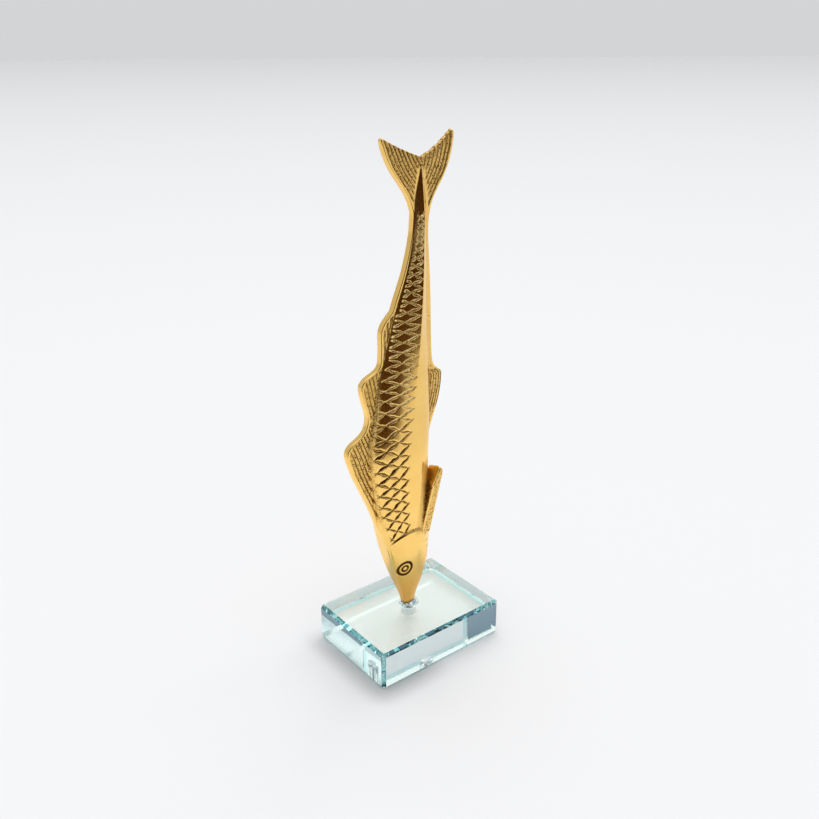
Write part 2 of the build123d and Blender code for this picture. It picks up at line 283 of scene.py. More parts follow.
class Fish:
    """The fish's measured surface, in metres: its outline, its sections and its half thickness."""

    def __init__(self, sizes, base):
        self.length = sizes.fish_length
        self.depth = sizes.fish_depth
        self.half = sizes.fish_thickness / 2
        self.plate = sizes.fin_thickness / 2
        self.edge = sizes.edge_radius
        self.step = sizes.gill_step
        self.nose = base.base_height + base.flange_thickness
        self.back_line = spline(self.side(BACK_OUTLINE))
        self.belly_line = spline(self.side(BELLY_OUTLINE))[::-1]
        self.back_lobe = arc(self.side(BACK_LOBE_EDGE))
        self.belly_lobe = arc(self.side(BELLY_LOBE_EDGE))
        self.arch = spline(self.side(GILL_ARCH), 400)

    def side(self, shares):
        """Side view points from their shares."""
        return [(x * self.depth, self.nose + up * self.length) for x, up in shares]

    def share(self, height):
        """Heights as shares of the fish's length."""
        return (np.asarray(height) - self.nose) / self.length

    def arch_height(self, x):
        """Height of the gill arch at X."""
        return np.interp(x, self.arch[:, 0], self.arch[:, 1])

    def section(self, height):
        """Back, belly, keel, half width, back flat, belly flat and fullness at each height."""
        up = self.share(height)
        rows = BODY_SECTIONS
        i = np.clip(np.searchsorted(rows[:, 0], up, side="right") - 1, 0, len(rows) - 2)
        before, here = rows[np.maximum(i - 1, 0)], rows[i]
        there, after = rows[i + 1], rows[np.minimum(i + 2, len(rows) - 1)]
        span = (there - here)[..., :1]
        step = (up[..., None] - here[..., :1]) / span
        slope_in = (there - before) * span / (there - before)[..., :1]
        slope_out = (after - here) * span / (after - here)[..., :1]
        value = here + (there - here) * step * step * (3 - 2 * step)
        value = value + slope_in * step * (1 - step) ** 2 - slope_out * step * step * (1 - step)
        value = np.moveaxis(value[..., 1:], -1, 0)
        back, belly, keel = value[:3] * self.depth
        wide, back_flat, belly_flat = value[3:6] * self.half
        return back, belly, keel, wide, back_flat, belly_flat, value[6]

    def facet(self, x, start, end, full):
        """The height over the middle plane of the curve from start to the keel at end."""
        (x0, y0), (x3, y3) = start, end
        run, rise = x3 - x0, y3 - y0
        x1 = x0 + run / 3 * (1 - full)
        x2 = x3 - run * ((1 - full) / 3 + full * QUARTER_ELLIPSE)
        y1 = y0 + rise * ((1 - full) / 3 + full * QUARTER_ELLIPSE)
        y2 = y3 - rise / 3 * (1 - full)
        low, high = np.zeros_like(x), np.ones_like(x)
        for _ in range(26):
            t = (low + high) / 2
            w = 1 - t
            at = w ** 3 * x0 + 3 * w * w * t * x1 + 3 * w * t * t * x2 + t ** 3 * x3
            beyond = (at - x) * np.sign(run) > 0
            high, low = np.where(beyond, t, high), np.where(beyond, low, t)
        t = (low + high) / 2
        w = 1 - t
        return w ** 3 * y0 + 3 * w * w * t * y1 + 3 * w * t * t * y2 + t ** 3 * y3

    def body(self, x, z):
        """Half thickness of the solid body, falling steeply outside its back and belly."""
        back, belly, keel, wide, back_flat, belly_flat, full = self.section(z)
        toward_back = self.facet(np.maximum(x, back), (back, back_flat), (keel, wide), full)
        toward_belly = self.facet(np.minimum(x, belly), (belly, belly_flat), (keel, wide), full)
        high = np.where(x < keel, toward_back, toward_belly)
        high = high - 8 * (np.maximum(back - x, 0) + np.maximum(x - belly, 0))
        top = self.nose + BODY_SECTIONS[-1, 0] * self.length
        return high - 0.6 * np.maximum(z - top, 0)

    def half_thickness(self, x, z):
        """Half thickness of the casting: plate or body, whichever is thicker, and the cheek."""
        plain = self.body(x, z) + self.cheek(x, z)
        gap = plain - self.plate
        return self.plate + (gap + np.sqrt(gap ** 2 + (0.16 * MM) ** 2)) / 2

    def cheek(self, x, z):
        """How far the gill cover stands proud: it ends in a bevel on the arch."""
        under = self.arch_height(x) - z
        slope = np.gradient(self.arch[:, 1], self.arch[:, 0])
        tilt = np.interp(x, self.arch[:, 0], np.clip(slope, -3, 3))
        near = under / np.sqrt(1 + tilt ** 2)
        growth = np.array(CHEEK_GROWTH)
        grown = np.interp(self.share(z), growth[:, 0], growth[:, 1])
        return self.step * grown * smoothstep(-0.1 * MM, 0.75 * MM, near)

    def fin_root(self, z):
        """X of the pectoral fin's rear face at a height."""
        (x, up), = self.side([PADDLE_ROOT])
        return x + (z - up) * math.tan(PADDLE_LEAN)

    def back_x(self, z):
        """The outline's back at a height."""
        plate = np.interp(z, self.back_line[:, 1], self.back_line[:, 0])
        low = z < self.nose + BACK_OUTLINE[0][1] * self.length
        return np.where(low, self.section(z)[0], np.minimum(plate, self.section(z)[0]))

    def belly_x(self, z):
        """The outline's belly at a height."""
        plate = np.interp(z, self.belly_line[:, 1], self.belly_line[:, 0])
        low = z < self.nose + BELLY_OUTLINE[-1][1] * self.length
        return np.where(low, self.section(z)[1], np.maximum(plate, self.section(z)[1]))

    def crease(self, z, toward_back):
        """Where the body leaves the plate, on the back or the belly side."""
        back, belly, keel = self.section(z)[:3]
        edge = back - 0.2 * MM if toward_back else belly + 0.2 * MM
        steps = np.linspace(0, 1, 160)[:, None]
        x = edge + (keel - edge) * steps
        high = self.body(x, np.broadcast_to(z, x.shape))
        above = np.argmax(high > self.plate, axis=0)
        return x[above, np.arange(len(z))]


# Columns of the flank's grid: rim, fin and flank on the back side, then the same to the belly.

RIM_STEPS = np.array([0.0, 0.12, 0.42, 1.0])
FIN_COLUMNS = 20
FLANK_COLUMNS = 44
BELLY_COLUMNS = 8
BELLY_FIN_COLUMNS = 8
TAIL_ROWS = 62
TAIL_ROOT = 0.850


def flank_heights(fish):
    """Heights of the grid's rows from the nose to the root of the tail, closest at the eye."""
    root = fish.nose + TAIL_ROOT * fish.length
    spans = [(0.0, 0.45, 3), (0.45, 17, 25), (17, 33, 58), (33, 47, 38)]
    heights = [np.linspace(a, b, n, endpoint=False) * MM + fish.nose for a, b, n in spans]
    heights.append(np.linspace(fish.nose + 47 * MM, root, 386))
    return np.concatenate(heights)


def side_columns(fish, z, toward_back):
    """X of the columns from the outline to the keel, one row for each height."""
    outline = fish.back_x if toward_back else fish.belly_x
    sign = 1 if toward_back else -1
    fins, flank = (FIN_COLUMNS, FLANK_COLUMNS) if toward_back else (BELLY_FIN_COLUMNS, BELLY_COLUMNS)
    least = (2.0 if toward_back else 1.2) * MM
    edge = outline(z)
    slope = np.gradient(edge, z)
    widening = np.minimum(np.sqrt(1 + slope ** 2), 2.2)[:, None]
    rim = edge[:, None] + sign * fish.edge * widening * RIM_STEPS
    start = rim[:, -1]
    crease = fish.crease(z, toward_back)
    crease = start + sign * np.maximum(sign * (crease - start), least)
    keel = fish.section(z)[2]
    fin = start[:, None] + (crease - start)[:, None] * np.arange(1, fins + 1) / fins
    tries = np.linspace(0, 1, 120)
    x = crease[:, None] + (keel - crease)[:, None] * tries
    y = fish.body(x, np.broadcast_to(z[:, None], x.shape))
    run = np.cumsum(np.hypot(np.diff(x, axis=1), np.diff(y, axis=1)), axis=1)
    run = np.c_[np.zeros(len(z)), run]
    share = np.arange(1, flank + 1) / flank
    even = np.array([np.interp(share * r[-1], r, row) for r, row in zip(run, x)])
    return np.c_[rim, fin, even]


def along(line, share):
    """Points at shares of a line's length."""
    run = np.r_[0, np.cumsum(np.linalg.norm(np.diff(line, axis=0), axis=1))]
    return np.stack([np.interp(share * run[-1], run, line[:, k]) for k in (0, 1)], axis=-1)


def tail_half(fish, root_x, toward_back):
    """Side view points of half the tail, from the outline to the middle, row by row upwards."""
    root = fish.nose + TAIL_ROOT * fish.length
    line = fish.back_line if toward_back else fish.belly_line
    outer = line[line[:, 1] > root]
    outer = np.r_[[[root_x[0], root]], outer]
    notch = fish.back_lobe[-1]
    heights = np.linspace(root, notch[1], 60)
    keel = fish.section(heights)[2]
    pull = smoothstep(0.4, 1.0, np.linspace(0, 1, 60))
    inner = np.c_[keel + (notch[0] - keel) * pull, heights]
    lobe = fish.back_lobe if toward_back else fish.belly_lobe[::-1]
    share = (root_x - root_x[0]) / (root_x[-1] - root_x[0])
    rims = len(RIM_STEPS)
    rest = (share - share[rims - 1]) / (1 - share[rims - 1])
    lengths = np.array([np.linalg.norm(np.diff(part, axis=0), axis=1).sum() for part in (outer, inner)])
    columns = []
    for j, here in enumerate(rest):
        tall = lengths[0] + (lengths[1] - lengths[0]) * max(here, 0)
        top = 1 - fish.edge * RIM_STEPS[::-1] / tall
        rows = np.r_[np.linspace(0, top[0], TAIL_ROWS - len(RIM_STEPS) + 2)[1:-1], top]
        left, right = along(outer, rows), along(inner, rows)
        wide = np.linalg.norm(right - left, axis=1)
        rim = fish.edge / wide
        v = rim * RIM_STEPS[j] if j < rims else rim + (1 - rim) * here
        v = v[:, None]
        low = np.stack([root_x[0] + (root_x[-1] - root_x[0]) * v[:, 0], np.full(len(rows), root)], axis=-1)
        high = along(lobe, v[:, 0])
        s = rows[:, None]
        corners = (1 - s) * ((1 - v) * outer[0] + v * inner[0]) + s * ((1 - v) * outer[-1] + v * inner[-1])
        columns.append((1 - v) * left + v * right + (1 - s) * low + s * high - corners)
    return np.array(columns).swapaxes(0, 1)


def round_tips(fish, points, radius):
    """Rounds the two tips of the tail: points beyond the tip's circle move onto it."""
    for line, lobe in ((fish.back_line, fish.back_lobe), (fish.belly_line, fish.belly_lobe[::-1])):
        tip = line[-1]
        down = line[-60] - tip
        across = lobe[20] - tip
        down, across = down / np.linalg.norm(down), across / np.linalg.norm(across)
        middle = (down + across) / np.linalg.norm(down + across)
        half = math.acos(float(np.clip(down @ across, -1, 1))) / 2
        centre = tip + middle * radius / math.sin(half)
        offset = points - centre
        reach = np.linalg.norm(offset, axis=-1)
        facing = (offset @ -middle) / np.maximum(reach, 1e-9)
        beyond = (facing > math.sin(half)) & (reach > radius) & (reach < 4 * radius / math.sin(half))
        points[beyond] = centre + offset[beyond] * (radius / reach[beyond])[:, None]
    return points


def flank_grid(fish, tip_radius):
    """Side view points of one flank, a grid of rows upwards and columns from back to belly."""
    z = flank_heights(fish)
    back, belly = side_columns(fish, z, True), side_columns(fish, z, False)
    x = np.c_[back, belly[:, ::-1][:, 1:]]
    body = np.stack([x, np.broadcast_to(z[:, None], x.shape)], axis=-1)
    tail = np.concatenate(
        [tail_half(fish, back[-1], True), tail_half(fish, belly[-1], False)[:, ::-1][:, 1:]], axis=1
    )
    return round_tips(fish, np.concatenate([body, tail]), tip_radius), back.shape[1] - 1


def outline_distance(fish, grid):
    """Distance of the grid's border points from the outline, and a long way for all others."""
    near = np.full(grid.shape[:2], 1.0)
    border = np.zeros(grid.shape[:2], bool)
    border[:, :7] = border[:, -7:] = border[:5] = border[-7:] = True
    rim = np.concatenate([grid[:, 0], grid[-1], grid[::-1, -1], grid[0, ::-1]])
    fine = np.concatenate([rim, (rim + np.roll(rim, -1, axis=0)) / 2])
    points = grid[border]
    gaps = np.array([np.hypot(*(fine - point).T).min() for point in points])
    near[border] = gaps
    near[0] = near[-1] = 0
    near[:, 0] = near[:, -1] = 0
    return near


def scale_values(fish, x, z):
    """Groove counts, pitch and mask of the scales for each grid point, and a share that is 1 where their
    lines are dark with patina and painted shade and low where they are painted with a highlight.
    """
    up = fish.share(z)
    back, _, keel = fish.section(z)[:3]
    line = np.maximum(back, fish.back_x(z) + 1.5 * MM)
    share = (x - line) / np.maximum(keel - line, MM)
    heights = SCALE_RULE[:, 0]
    dense = np.linspace(0, 1.1, 2200)
    count = np.cumsum(1 / np.interp(dense, heights, SCALE_RULE[:, 1])) * (dense[1] - dense[0])
    row = np.interp(up, dense, count - np.interp(SCALE_ANCHOR_HEIGHT, dense, count))
    pitch, climb, drop, end = (np.interp(up, heights, values) for values in SCALE_RULE[:, 1:].T)
    inset = 0.10 * between(up, *SPANS["scale_inset"])
    mask = between(share, 0.03 + inset, 0.12 + inset, end - 0.01, end + 0.05)
    mask = mask * smoothstep(0.2 * MM, 1.8 * MM, z - fish.arch_height(x))
    return {
        "scale_rise": row - climb * (share - end),
        "scale_fall": row + drop * (share - end),
        "scale_pitch": pitch * fish.length,
        "scale_mask": mask * between(up, *SPANS["scales"]),
        # 1 where the scale lines are dark with patina and painted shade, falling upwards to where they are
        # painted with a highlight.
        "dark_vs_lit_lines": 1 - 0.9 * smoothstep(0.36, 0.50, up),
    }


def tail_gaps(fish, grid, middle):
    """How far each grid point lies inside the tail's two sides, and outside the body's wedge."""
    x, z = grid[..., 0], grid[..., 1]
    left, right = (np.interp(z, line[:, 1], line[:, 0]) for line in (grid[:, 0], grid[:, -1]))
    inside = np.where(np.arange(x.shape[1]) < middle, x - left, right - x)
    back, belly = fish.section(z)[:2]
    wedge = np.where(fish.share(z) < BODY_SECTIONS[-1, 0], np.maximum(back - x, x - belly), 1.0)
    return inside, wedge


def ray_values(fish, x, z, spacing, inside, wedge):
    """Groove count, pitch and mask of the rays of the fins and the tail for each grid point."""
    up = fish.share(z)
    back, belly = fish.section(z)[:2]
    edge = fish.back_x(z)
    count, mask = np.zeros_like(x), np.zeros_like(x)
    for low, high, reach, first, second in DORSAL_FINS:
        (x0, z0), (x1, z1) = fish.side([first, second])
        lead = x0 + (x1 - x0) / (z1 - z0) * (z - z0)
        lead = np.where(z < z1, np.minimum(edge, lead + 1.5 * MM), lead)
        end = back + reach * MM
        over = (x - lead) / spacing - 0.9
        fade = smoothstep(-0.15, 0.05, over) * smoothstep(1.2 * MM, 2.0 * MM, x - edge)
        fade = fade * fall(end - 0.8 * MM, end - 0.1 * MM, x)
        here = (up > low) & (up < high) & (x < end)
        count, mask = np.where(here, over, count), np.where(here, fade, mask)
    over = (fish.belly_x(z) - x) / (1.5 * MM) - 0.3
    fade = smoothstep(-0.2, 0.1, over) * between(up, *SPANS["ventral_rays"])
    here = (up > 0.430) & (up < 0.548) & (x > belly + 0.2 * MM)
    count, mask = np.where(here, over, count), np.where(here, fade, mask)
    fade = smoothstep(0.9 * MM, 1.7 * MM, inside) * smoothstep(0.0, 0.9 * MM, wedge)
    fade = fade * smoothstep(0.852, 0.868, up)
    here = up > TAIL_START
    count, mask = np.where(here, inside / spacing - 0.95, count), np.where(here, fade, mask)
    return {"ray_count": count, "ray_pitch": np.full_like(x, spacing), "ray_mask": mask}


def finish_values(fish, x, z, inside, wedge):
    """Where the brass is dotted, where it is painted with shade and dark reflection, and where it is satin,
    for each grid point.
    """
    up = fish.share(z)
    back, belly, keel = fish.section(z)[:3]
    edge = fish.back_x(z)
    within = (x - edge > 1.3 * MM) & (fish.belly_x(z) - x > 1.3 * MM)
    plain = np.maximum(smoothstep(0.0, 1.0 * MM, back - x), smoothstep(-0.3 * MM, 0.7 * MM, x - belly))
    tail = smoothstep(0.0, 0.9 * MM, wedge) * (inside > 1.3 * MM)
    plain = np.where(up > TAIL_START, tail, plain * within)
    beside = 0.8 * smoothstep(-2.4 * MM, -0.4 * MM, back - x) * fall(0.50, 0.56, up) * within
    ground = np.maximum(plain, beside) * smoothstep(0.20, 0.26, up)
    # Painted shade in the crease where the fin plate meets the body along the back.
    middle = back + (0.1 + 0.9 * smoothstep(0.50, 0.58, up)) * MM
    corner = 0.85 * fall(0.5 * MM, 1.5 * MM, np.abs(x - middle)) * between(up, *SPANS["back_corner"])
    corner = corner * smoothstep(0.9 * MM, 1.6 * MM, x - edge)
    # Painted shade along a crease on the belly.
    fold = 0.22 * fall(0.15 * MM, 0.5 * MM, np.abs(belly - 1.8 * MM - x))
    fold = fold * between(up, *SPANS["belly_fold"])
    behind = fish.fin_root(z) - x
    satin = fall(3.0 * MM, 6.0 * MM, behind) * between(up, *SPANS["fin_shade"])
    # Painted shade where the pectoral fin meets the body.
    socket = fall(0.2 * MM, 1.3 * MM, behind) * (behind > -4 * MM)
    socket = socket * between(up, *SPANS["fin_socket"])
    # Painted shade along the lip of the gill cover.
    lip = fall(0.35 * MM, 1.0 * MM, np.abs(z - fish.arch_height(x) - 0.35 * MM))
    lip = lip * smoothstep(0.3, 0.8, (x - back) / (keel - back))
    lip = lip * (x > fish.arch[:, 0].min()) * (x < fish.arch[:, 0].max())
    # A painted dark reflection at the bottom of the nose.
    nose = 0.95 * fall(0.8 * MM, 2.6 * MM, z - fish.nose)
    dark = np.maximum.reduce([corner, fold, socket, nose, lip])
    return {"dotted_ground": ground, "painted_shade_mask": dark, "satin": satin}


def eye_lines(sizes):
    """Radius and half width of the eye's two rings."""
    return (
        (sizes.eye_diameter / 2 - 0.4 * MM, 0.95 * MM), (sizes.iris_diameter / 2 - 0.4 * MM, 0.7 * MM),
    )


def eye_rings(fish, sizes, x, z):
    """1 along the two rings of the eye, falling softly to 0 on both sides."""
    away = np.hypot(x - EYE_PLACE[0] * fish.depth, z - fish.nose - EYE_PLACE[1] * fish.length)
    outer, inner = (fall(0.0, width, np.abs(away - middle)) for middle, width in eye_lines(sizes))
    return np.maximum(outer, inner)


def casting_mesh(fish, sizes):
    """The closed casting as one mesh, with the values that the carving and the brass read."""
    grid, middle = flank_grid(fish, sizes.lobe_tip_radius)
    x, z = grid[..., 0], grid[..., 1]
    drop = np.clip(fish.edge - outline_distance(fish, grid), 0, fish.edge)
    y = fish.half_thickness(x, z) - fish.edge + np.sqrt(np.maximum(fish.edge ** 2 - drop ** 2, 0))
    y = y - sizes.eye_depth * eye_rings(fish, sizes, x, z)
    tail = slice(x.shape[0] - TAIL_ROWS, None)
    run = np.linalg.norm(np.diff(grid[tail], axis=0, append=grid[-1:]), axis=-1)
    thin = fall(0, 4.0 * MM, np.cumsum(run[::-1], axis=0)[::-1])
    y[tail] = y[tail] - np.minimum(thin * sizes.tail_thinning, y[tail] * 0.55)
    total = x.size
    index = np.arange(total).reshape(x.shape)
    a, b, c, d = index[:-1, :-1], index[:-1, 1:], index[1:, 1:], index[1:, :-1]
    loop = np.concatenate([index[0], index[1:, -1], index[-1, -2::-1], index[-2:0:-1, 0]])
    after = np.roll(loop, -1)
    quads = ((a, b, c, d), np.array((a, d, c, b)) + total, (loop, loop + total, after + total, after))
    faces = np.concatenate([np.stack(quad, axis=-1).reshape(-1, 4) for quad in quads])
    points = np.concatenate([np.stack([x, side * y, z], axis=-1).reshape(-1, 3) for side in (-1, 1)])
    mesh = bpy.data.meshes.new("fish_body")
    mesh.from_pydata(points.tolist(), [], faces.tolist())
    gaps = tail_gaps(fish, grid, middle)
    values = {
        **scale_values(fish, x, z),
        **ray_values(fish, x, z, sizes.ray_spacing, *gaps),
        **finish_values(fish, x, z, *gaps),
    }
    for name, value in values.items():
        layer = mesh.attributes.new(name, "FLOAT", "POINT")
        layer.data.foreach_set("value", np.tile(value.ravel(), 2).astype(np.float32))
    mesh.polygons.foreach_set("use_smooth", [True] * len(mesh.polygons))
    mesh.update()
    return mesh


# Node helpers


class Wire:
    """The output of a node, which plain arithmetic can be done with."""

    def __init__(self, tree, socket):
        self.tree = tree
        self.socket = socket

    def math(self, operation, *others):
        """A math node on this value and up to two others, which are wires or numbers."""
        return wire(self.tree, "ShaderNodeMath", enumerate((self, *others)), operation=operation)

    def __add__(self, other):
        return self.math("ADD", other)

    def __sub__(self, other):
        return self.math("SUBTRACT", other)

    def __rsub__(self, other):
        return self.math("MULTIPLY_ADD", -1.0, other)

    def __mul__(self, other):
        return self.math("MULTIPLY", other)

    def __truediv__(self, other):
        return self.math("DIVIDE", other)

    def __abs__(self):
        return self.math("ABSOLUTE")

    def most(self, other):
        """The greater of two values."""
        return self.math("MAXIMUM", other)

    def least(self, other):
        """The smaller of two values."""
        return self.math("MINIMUM", other)

    def from_line(self, pitch):
        """Distance to the nearest whole number, where one stands for a pitch."""
        return self.math("PINGPONG", 0.5) * pitch

    def ramp(self, low, high, first=0.0, second=1.0):
        """A soft ramp from first at low to second at high."""
        numbers = enumerate((self, low, high, first, second))
        return wire(self.tree, "ShaderNodeMapRange", numbers, interpolation_type="SMOOTHSTEP")

    def band(self, half_width):
        """1 where this distance is 0, falling softly to 0 at half_width."""
        return (self / half_width).ramp(0.0, 1.0, 1.0, 0.0)

    def mix(self, first, second):
        """The colour from first to second that this share stands for."""
        return wire(self.tree, "ShaderNodeMix", ((0, self), (6, first), (7, second)), 2, data_type="RGBA")


def feed(tree, node, values):
    """Sets a node's inputs to plain values, or joins them to wires."""
    for name, value in dict(values).items():
        port = node.inputs[name]
        if isinstance(value, Wire):
            tree.links.new(value.socket, port)
        elif port.type == "RGBA":
            port.default_value = (*value, 1.0)
        else:
            port.default_value = value


def wire(tree, kind, inputs=(), output=0, **settings):
    """An output of a new node with the given inputs and settings."""
    node = tree.nodes.new(kind)
    for name, value in settings.items():
        setattr(node, name, value)
    feed(tree, node, inputs)
    return Wire(tree, node.outputs[output])


def distance(x, y):
    """Length of a flat offset."""
    return (x * x + y * y).math("SQRT")


def new_group(name, kind, inputs, outputs):
    """A node group with named inputs and outputs, its input wires and its end node."""
    group = bpy.data.node_groups.new(name, kind)
    for way, sockets in (("INPUT", inputs), ("OUTPUT", outputs)):
        for label, socket in sockets.items():
            group.interface.new_socket(label, in_out=way, socket_type="NodeSocket" + socket)
    start = group.nodes.new("NodeGroupInput")
    given = {label: Wire(group, start.outputs[label]) for label in inputs}
    return group, given, group.nodes.new("NodeGroupOutput")


CARVING_SIZES = ("Rising Depth", "Falling Depth", "Groove Width", "Ray Depth", "Ray Width", "Unevenness")


def carving_tree():
    """Geometry Nodes that cut the scales and the rays into the casting."""
    casting = {"Casting": "Geometry"}
    inputs = {**casting, **dict.fromkeys(CARVING_SIZES, "Float"), "Seed": "Int", "Brass": "Material"}
    tree, given, end = new_group("carve_casting", "GeometryNodeTree", inputs, casting)

    def named(name):
        """A value that the casting's points carry."""
        node = "GeometryNodeInputNamedAttribute"
        return wire(tree, node, {"Name": name}, "Attribute", data_type="FLOAT")

    place = wire(tree, "GeometryNodeInputPosition")
    waves = {"Vector": place, "W": given["Seed"], "Scale": 210.0, "Detail": 2.0}
    noise = wire(tree, "ShaderNodeTexNoise", waves, noise_dimensions="4D")
    sway = (noise - 0.5) * given["Unevenness"]
    counts = [named(name) + sway for name in ("scale_rise", "scale_fall")]
    pitch, ray_pitch = named("scale_pitch"), named("ray_pitch")
    fit = (pitch / (WIDEST_PITCH * MM)).least(1.0)
    narrow = named("dark_vs_lit_lines") * 0.12 + 0.38
    cuts = []
    for count, other, depth in ((*counts, "Rising Depth"), (*counts[::-1], "Falling Depth")):
        swell = (other.from_line(1.0) + 0.5) * fit
        cut = count.from_line(pitch).band(given["Groove Width"] * (swell * narrow))
        cuts.append(cut * given[depth] * swell)
    scales = cuts[0].math("SMOOTH_MAX", cuts[1], 0.08 * MM)
    scales = scales * (named("scale_mask") * (noise * 1.1 + 0.45))
    half = (given["Ray Width"] * 0.5).least(ray_pitch * 0.42)
    rays = (named("ray_count") + sway * 1.7).from_line(ray_pitch).band(half)
    cut = scales + rays * given["Ray Depth"] * named("ray_mask")
    normal = wire(tree, "GeometryNodeInputNormal")
    offset = wire(tree, "ShaderNodeVectorMath", {0: normal, "Scale": cut * -1.0}, operation="SCALE")
    carved = given["Casting"]
    for name, count in zip(("cut_rise", "cut_fall"), counts):
        stored = {"Geometry": carved, "Name": name, "Value": count}
        carved = wire(tree, "GeometryNodeStoreNamedAttribute", stored, data_type="FLOAT")
    for kind, extra in (
        ("GeometryNodeSetPosition", {"Offset": offset}),
        ("GeometryNodeRealizeInstances", {}),
        ("GeometryNodeSetMaterial", {"Material": given["Brass"]}),
    ):
        carved = wire(tree, kind, {"Geometry": carved, **extra})
    feed(tree, end, {0: carved})
    return tree


def run_tree(piece, tree, values):
    """Runs a Geometry Nodes tree on a piece and leaves the result as its plain mesh."""
    modifier = piece.modifiers.new("carving", "NODES")
    modifier.node_group = tree
    sockets = {item.name: item.identifier for item in tree.interface.items_tree if item.in_out == "INPUT"}
    for label, value in values.items():
        modifier[sockets[label]] = value
    plain_mesh(piece)
    if not piece.data.polygons:
        raise RuntimeError("the carving of " + piece.name + " left no faces")


def plain_mesh(piece):
    """Turns what a piece's modifiers make of it into its plain mesh."""
    graph = bpy.context.evaluated_depsgraph_get()
    result = bpy.data.meshes.new_from_object(
        piece.evaluated_get(graph), preserve_all_data_layers=True, depsgraph=graph
    )
    piece.modifiers.clear()
    old = piece.data
    piece.data = result
    bpy.data.meshes.remove(old)
    result.name = piece.name


def add_object(name, data):
    """A new object in the scene, at the origin and unturned."""
    thing = bpy.data.objects.new(name, data)
    bpy.context.scene.collection.objects.link(thing)
    return thing


def declare(piece, node):
    """Sets a finished piece to ride on the root, and hides the part of model.glb that it stands for."""
    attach(piece, "root")
    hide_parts(node)


# Materials


def plain_material(name):
    """A new material, its tree and its shader node."""
    material = bpy.data.materials.new(name)
    material.use_nodes = True
    return material, material.node_tree, material.node_tree.nodes["Principled BSDF"]


def attribute(tree, name):
    """The value of a named attribute."""
    return wire(tree, "ShaderNodeAttribute", output="Fac", attribute_name=name)


def place_wires(tree, kind="Object"):
    """X, Y and Z of a place on the object, or of a direction from the world's middle."""
    parts = tree.nodes.new("ShaderNodeSeparateXYZ")
    feed(tree, parts, {0: wire(tree, "ShaderNodeTexCoord", output=kind)})
    return [Wire(tree, socket) for socket in parts.outputs]


def hand_finish_group():
    """Fine unevenness of cast and polished metal: a height, a mask of tiny pits and a tone."""
    results = dict.fromkeys(("Height", "Pits", "Tone"), "Float")
    group, given, end = new_group("hand_finish", "ShaderNodeTree", {"Scale": "Float"}, results)
    place = wire(group, "ShaderNodeTexCoord", output="Object")

    def texture(kind, scale, output, **detail):
        """A texture on the object's own coordinates."""
        return wire(group, kind, {"Vector": place, "Scale": given["Scale"] * scale, **detail}, output)

    feed(group, end, {
        "Height": texture("ShaderNodeTexNoise", 260.0, 0, Detail=2.0),
        "Pits": texture("ShaderNodeTexVoronoi", 900.0, "Distance").band(0.58),
        "Tone": texture("ShaderNodeTexNoise", 90.0, 0, Detail=3.0),
    })
    return group


def eye_mask(x, z, sizes, base):
    """The dark lines of the eye's two rings."""
    nose = base.base_height + base.flange_thickness
    across = x - EYE_PLACE[0] * sizes.fish_depth
    away = distance(across, z - (nose + EYE_PLACE[1] * sizes.fish_length))
    outer, inner = (abs(away - middle).band(width) for middle, width in eye_lines(sizes))
    return outer.most(inner) * 2.4


